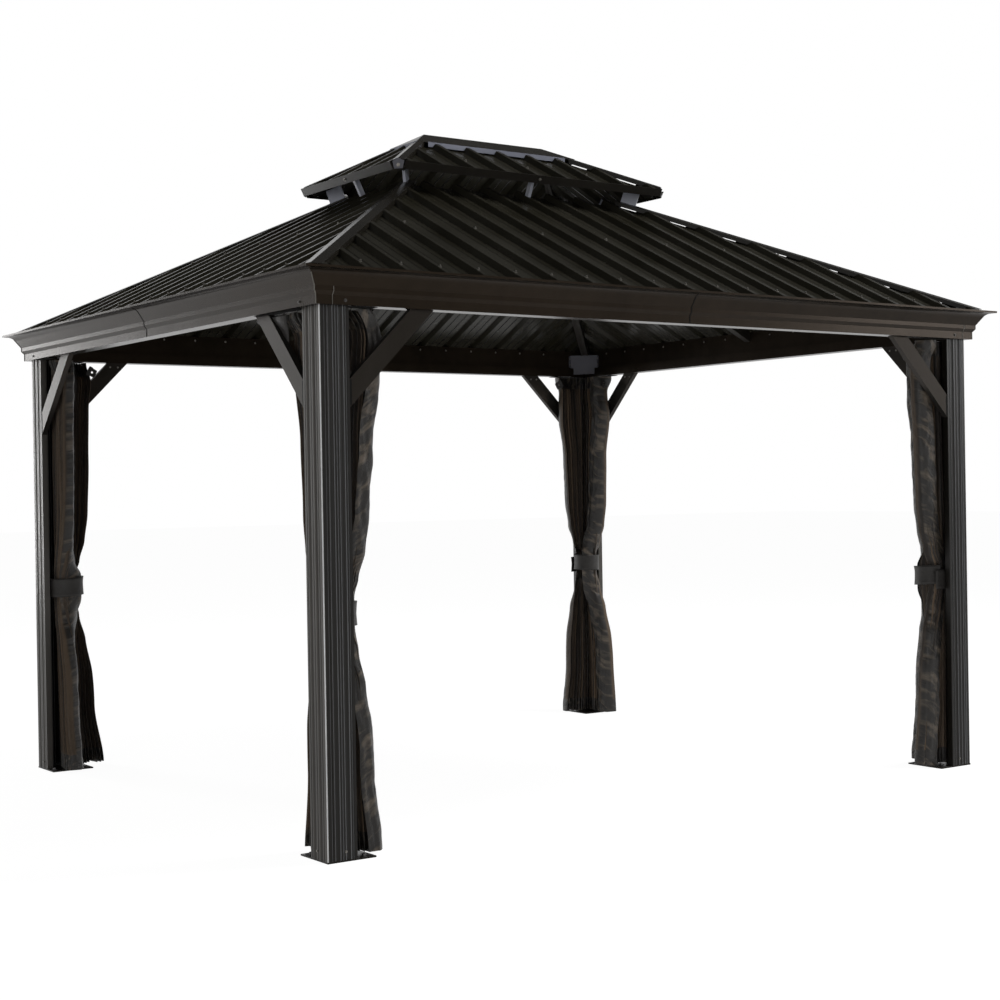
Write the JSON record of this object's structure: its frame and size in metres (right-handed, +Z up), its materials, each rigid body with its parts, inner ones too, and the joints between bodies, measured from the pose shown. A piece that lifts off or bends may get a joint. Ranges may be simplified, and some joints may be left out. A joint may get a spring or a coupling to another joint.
{
  "type": "metal gazebo",
  "caption": "Hard-top steel gazebo: fluted corner posts, knee braces and crown-moulded beams under a vented two-tier ribbed hip roof, with tied net curtains at the corners.",
  "frame": {"origin": "on the ground at the plan centre, level with the undersides of the foot plates", "axes": "+X along the long side to the right seen from the front, +Y from the front to the back, +Z up"},
  "size_m": [3.632, 3.066, 2.9704],
  "materials": {
    "frame_metal": "satin",
    "roof_metal": "satin",
    "plate_metal": "satin",
    "netting": "matte"
  },
  "bodies": {
    "root": {"post_front_left": "frame_metal", "post_front_right": "frame_metal", "post_back_left": "frame_metal", "post_back_right": "frame_metal", "foot_plate_front_left": "frame_metal", "foot_plate_front_right": "frame_metal", "foot_plate_back_left": "frame_metal", "foot_plate_back_right": "frame_metal", "front_beam_left": "frame_metal", "front_beam_right": "frame_metal", "back_beam_left": "frame_metal", "back_beam_right": "frame_metal", "left_beam_front": "frame_metal", "left_beam_back": "frame_metal", "right_beam_front": "frame_metal", "right_beam_back": "frame_metal", "cornice_corners": "frame_metal", "knee_braces_front_left": "frame_metal", "knee_braces_front_right": "frame_metal", "knee_braces_back_left": "frame_metal", "knee_braces_back_right": "frame_metal", "hip_rafters": "frame_metal", "mid_rafters": "frame_metal", "vent_ring": "frame_metal", "upper_rafters": "frame_metal", "upper_ridge_bar": "frame_metal", "upper_eave_trims": "frame_metal", "front_roof": "roof_metal", "right_roof": "roof_metal", "back_roof": "roof_metal", "left_roof": "roof_metal", "hip_caps": "roof_metal", "upper_front_roof": "roof_metal", "upper_right_roof": "roof_metal", "upper_back_roof": "roof_metal", "upper_left_roof": "roof_metal", "upper_hip_caps": "roof_metal", "ridge_cap": "roof_metal", "corner_gussets": "plate_metal", "vent_supports": "plate_metal", "upper_corner_caps": "plate_metal", "curtain_front_left": "netting", "curtain_front_right": "netting", "curtain_back_left": "netting", "curtain_back_right": "netting"}
  },
  "joints": []
}
